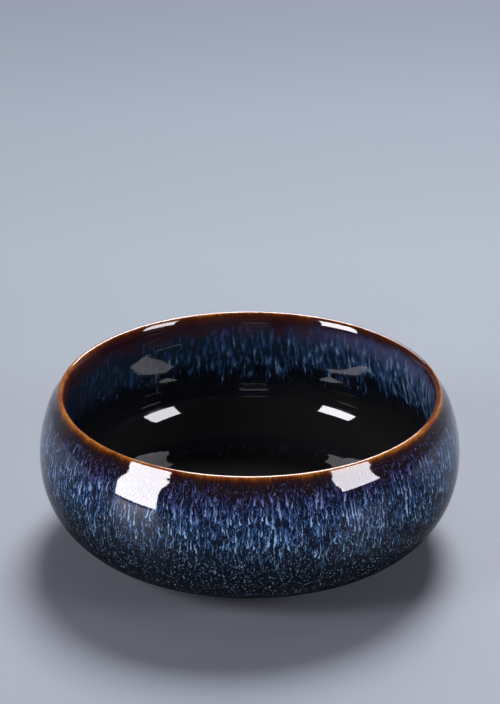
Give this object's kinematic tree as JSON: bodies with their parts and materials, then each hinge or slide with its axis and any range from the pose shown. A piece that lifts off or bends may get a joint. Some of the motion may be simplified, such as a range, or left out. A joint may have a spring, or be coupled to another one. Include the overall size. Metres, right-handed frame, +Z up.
{
  "type": "waste water bowl",
  "caption": "Squat round stoneware bowl with an in-curved lip, wide belly and turned foot ring, glazed black-brown with a streaked blue coat inside and out, for rinse water at tea.",
  "frame": {"origin": "on the table at the middle of the foot ring", "axes": "+Z up along the bowl's turning axis; the bowl is round, so +X and +Y are any two square directions"},
  "size_m": [0.16, 0.16, 0.0623],
  "materials": {
    "fired_clay": "matte",
    "iron_glaze": "gloss",
    "blue_streak_glaze": "gloss"
  },
  "bodies": {
    "root": {"stoneware_body": "fired_clay", "base_glaze": "iron_glaze", "outer_blue_glaze": "blue_streak_glaze", "inner_blue_glaze": "blue_streak_glaze"}
  },
  "joints": []
}
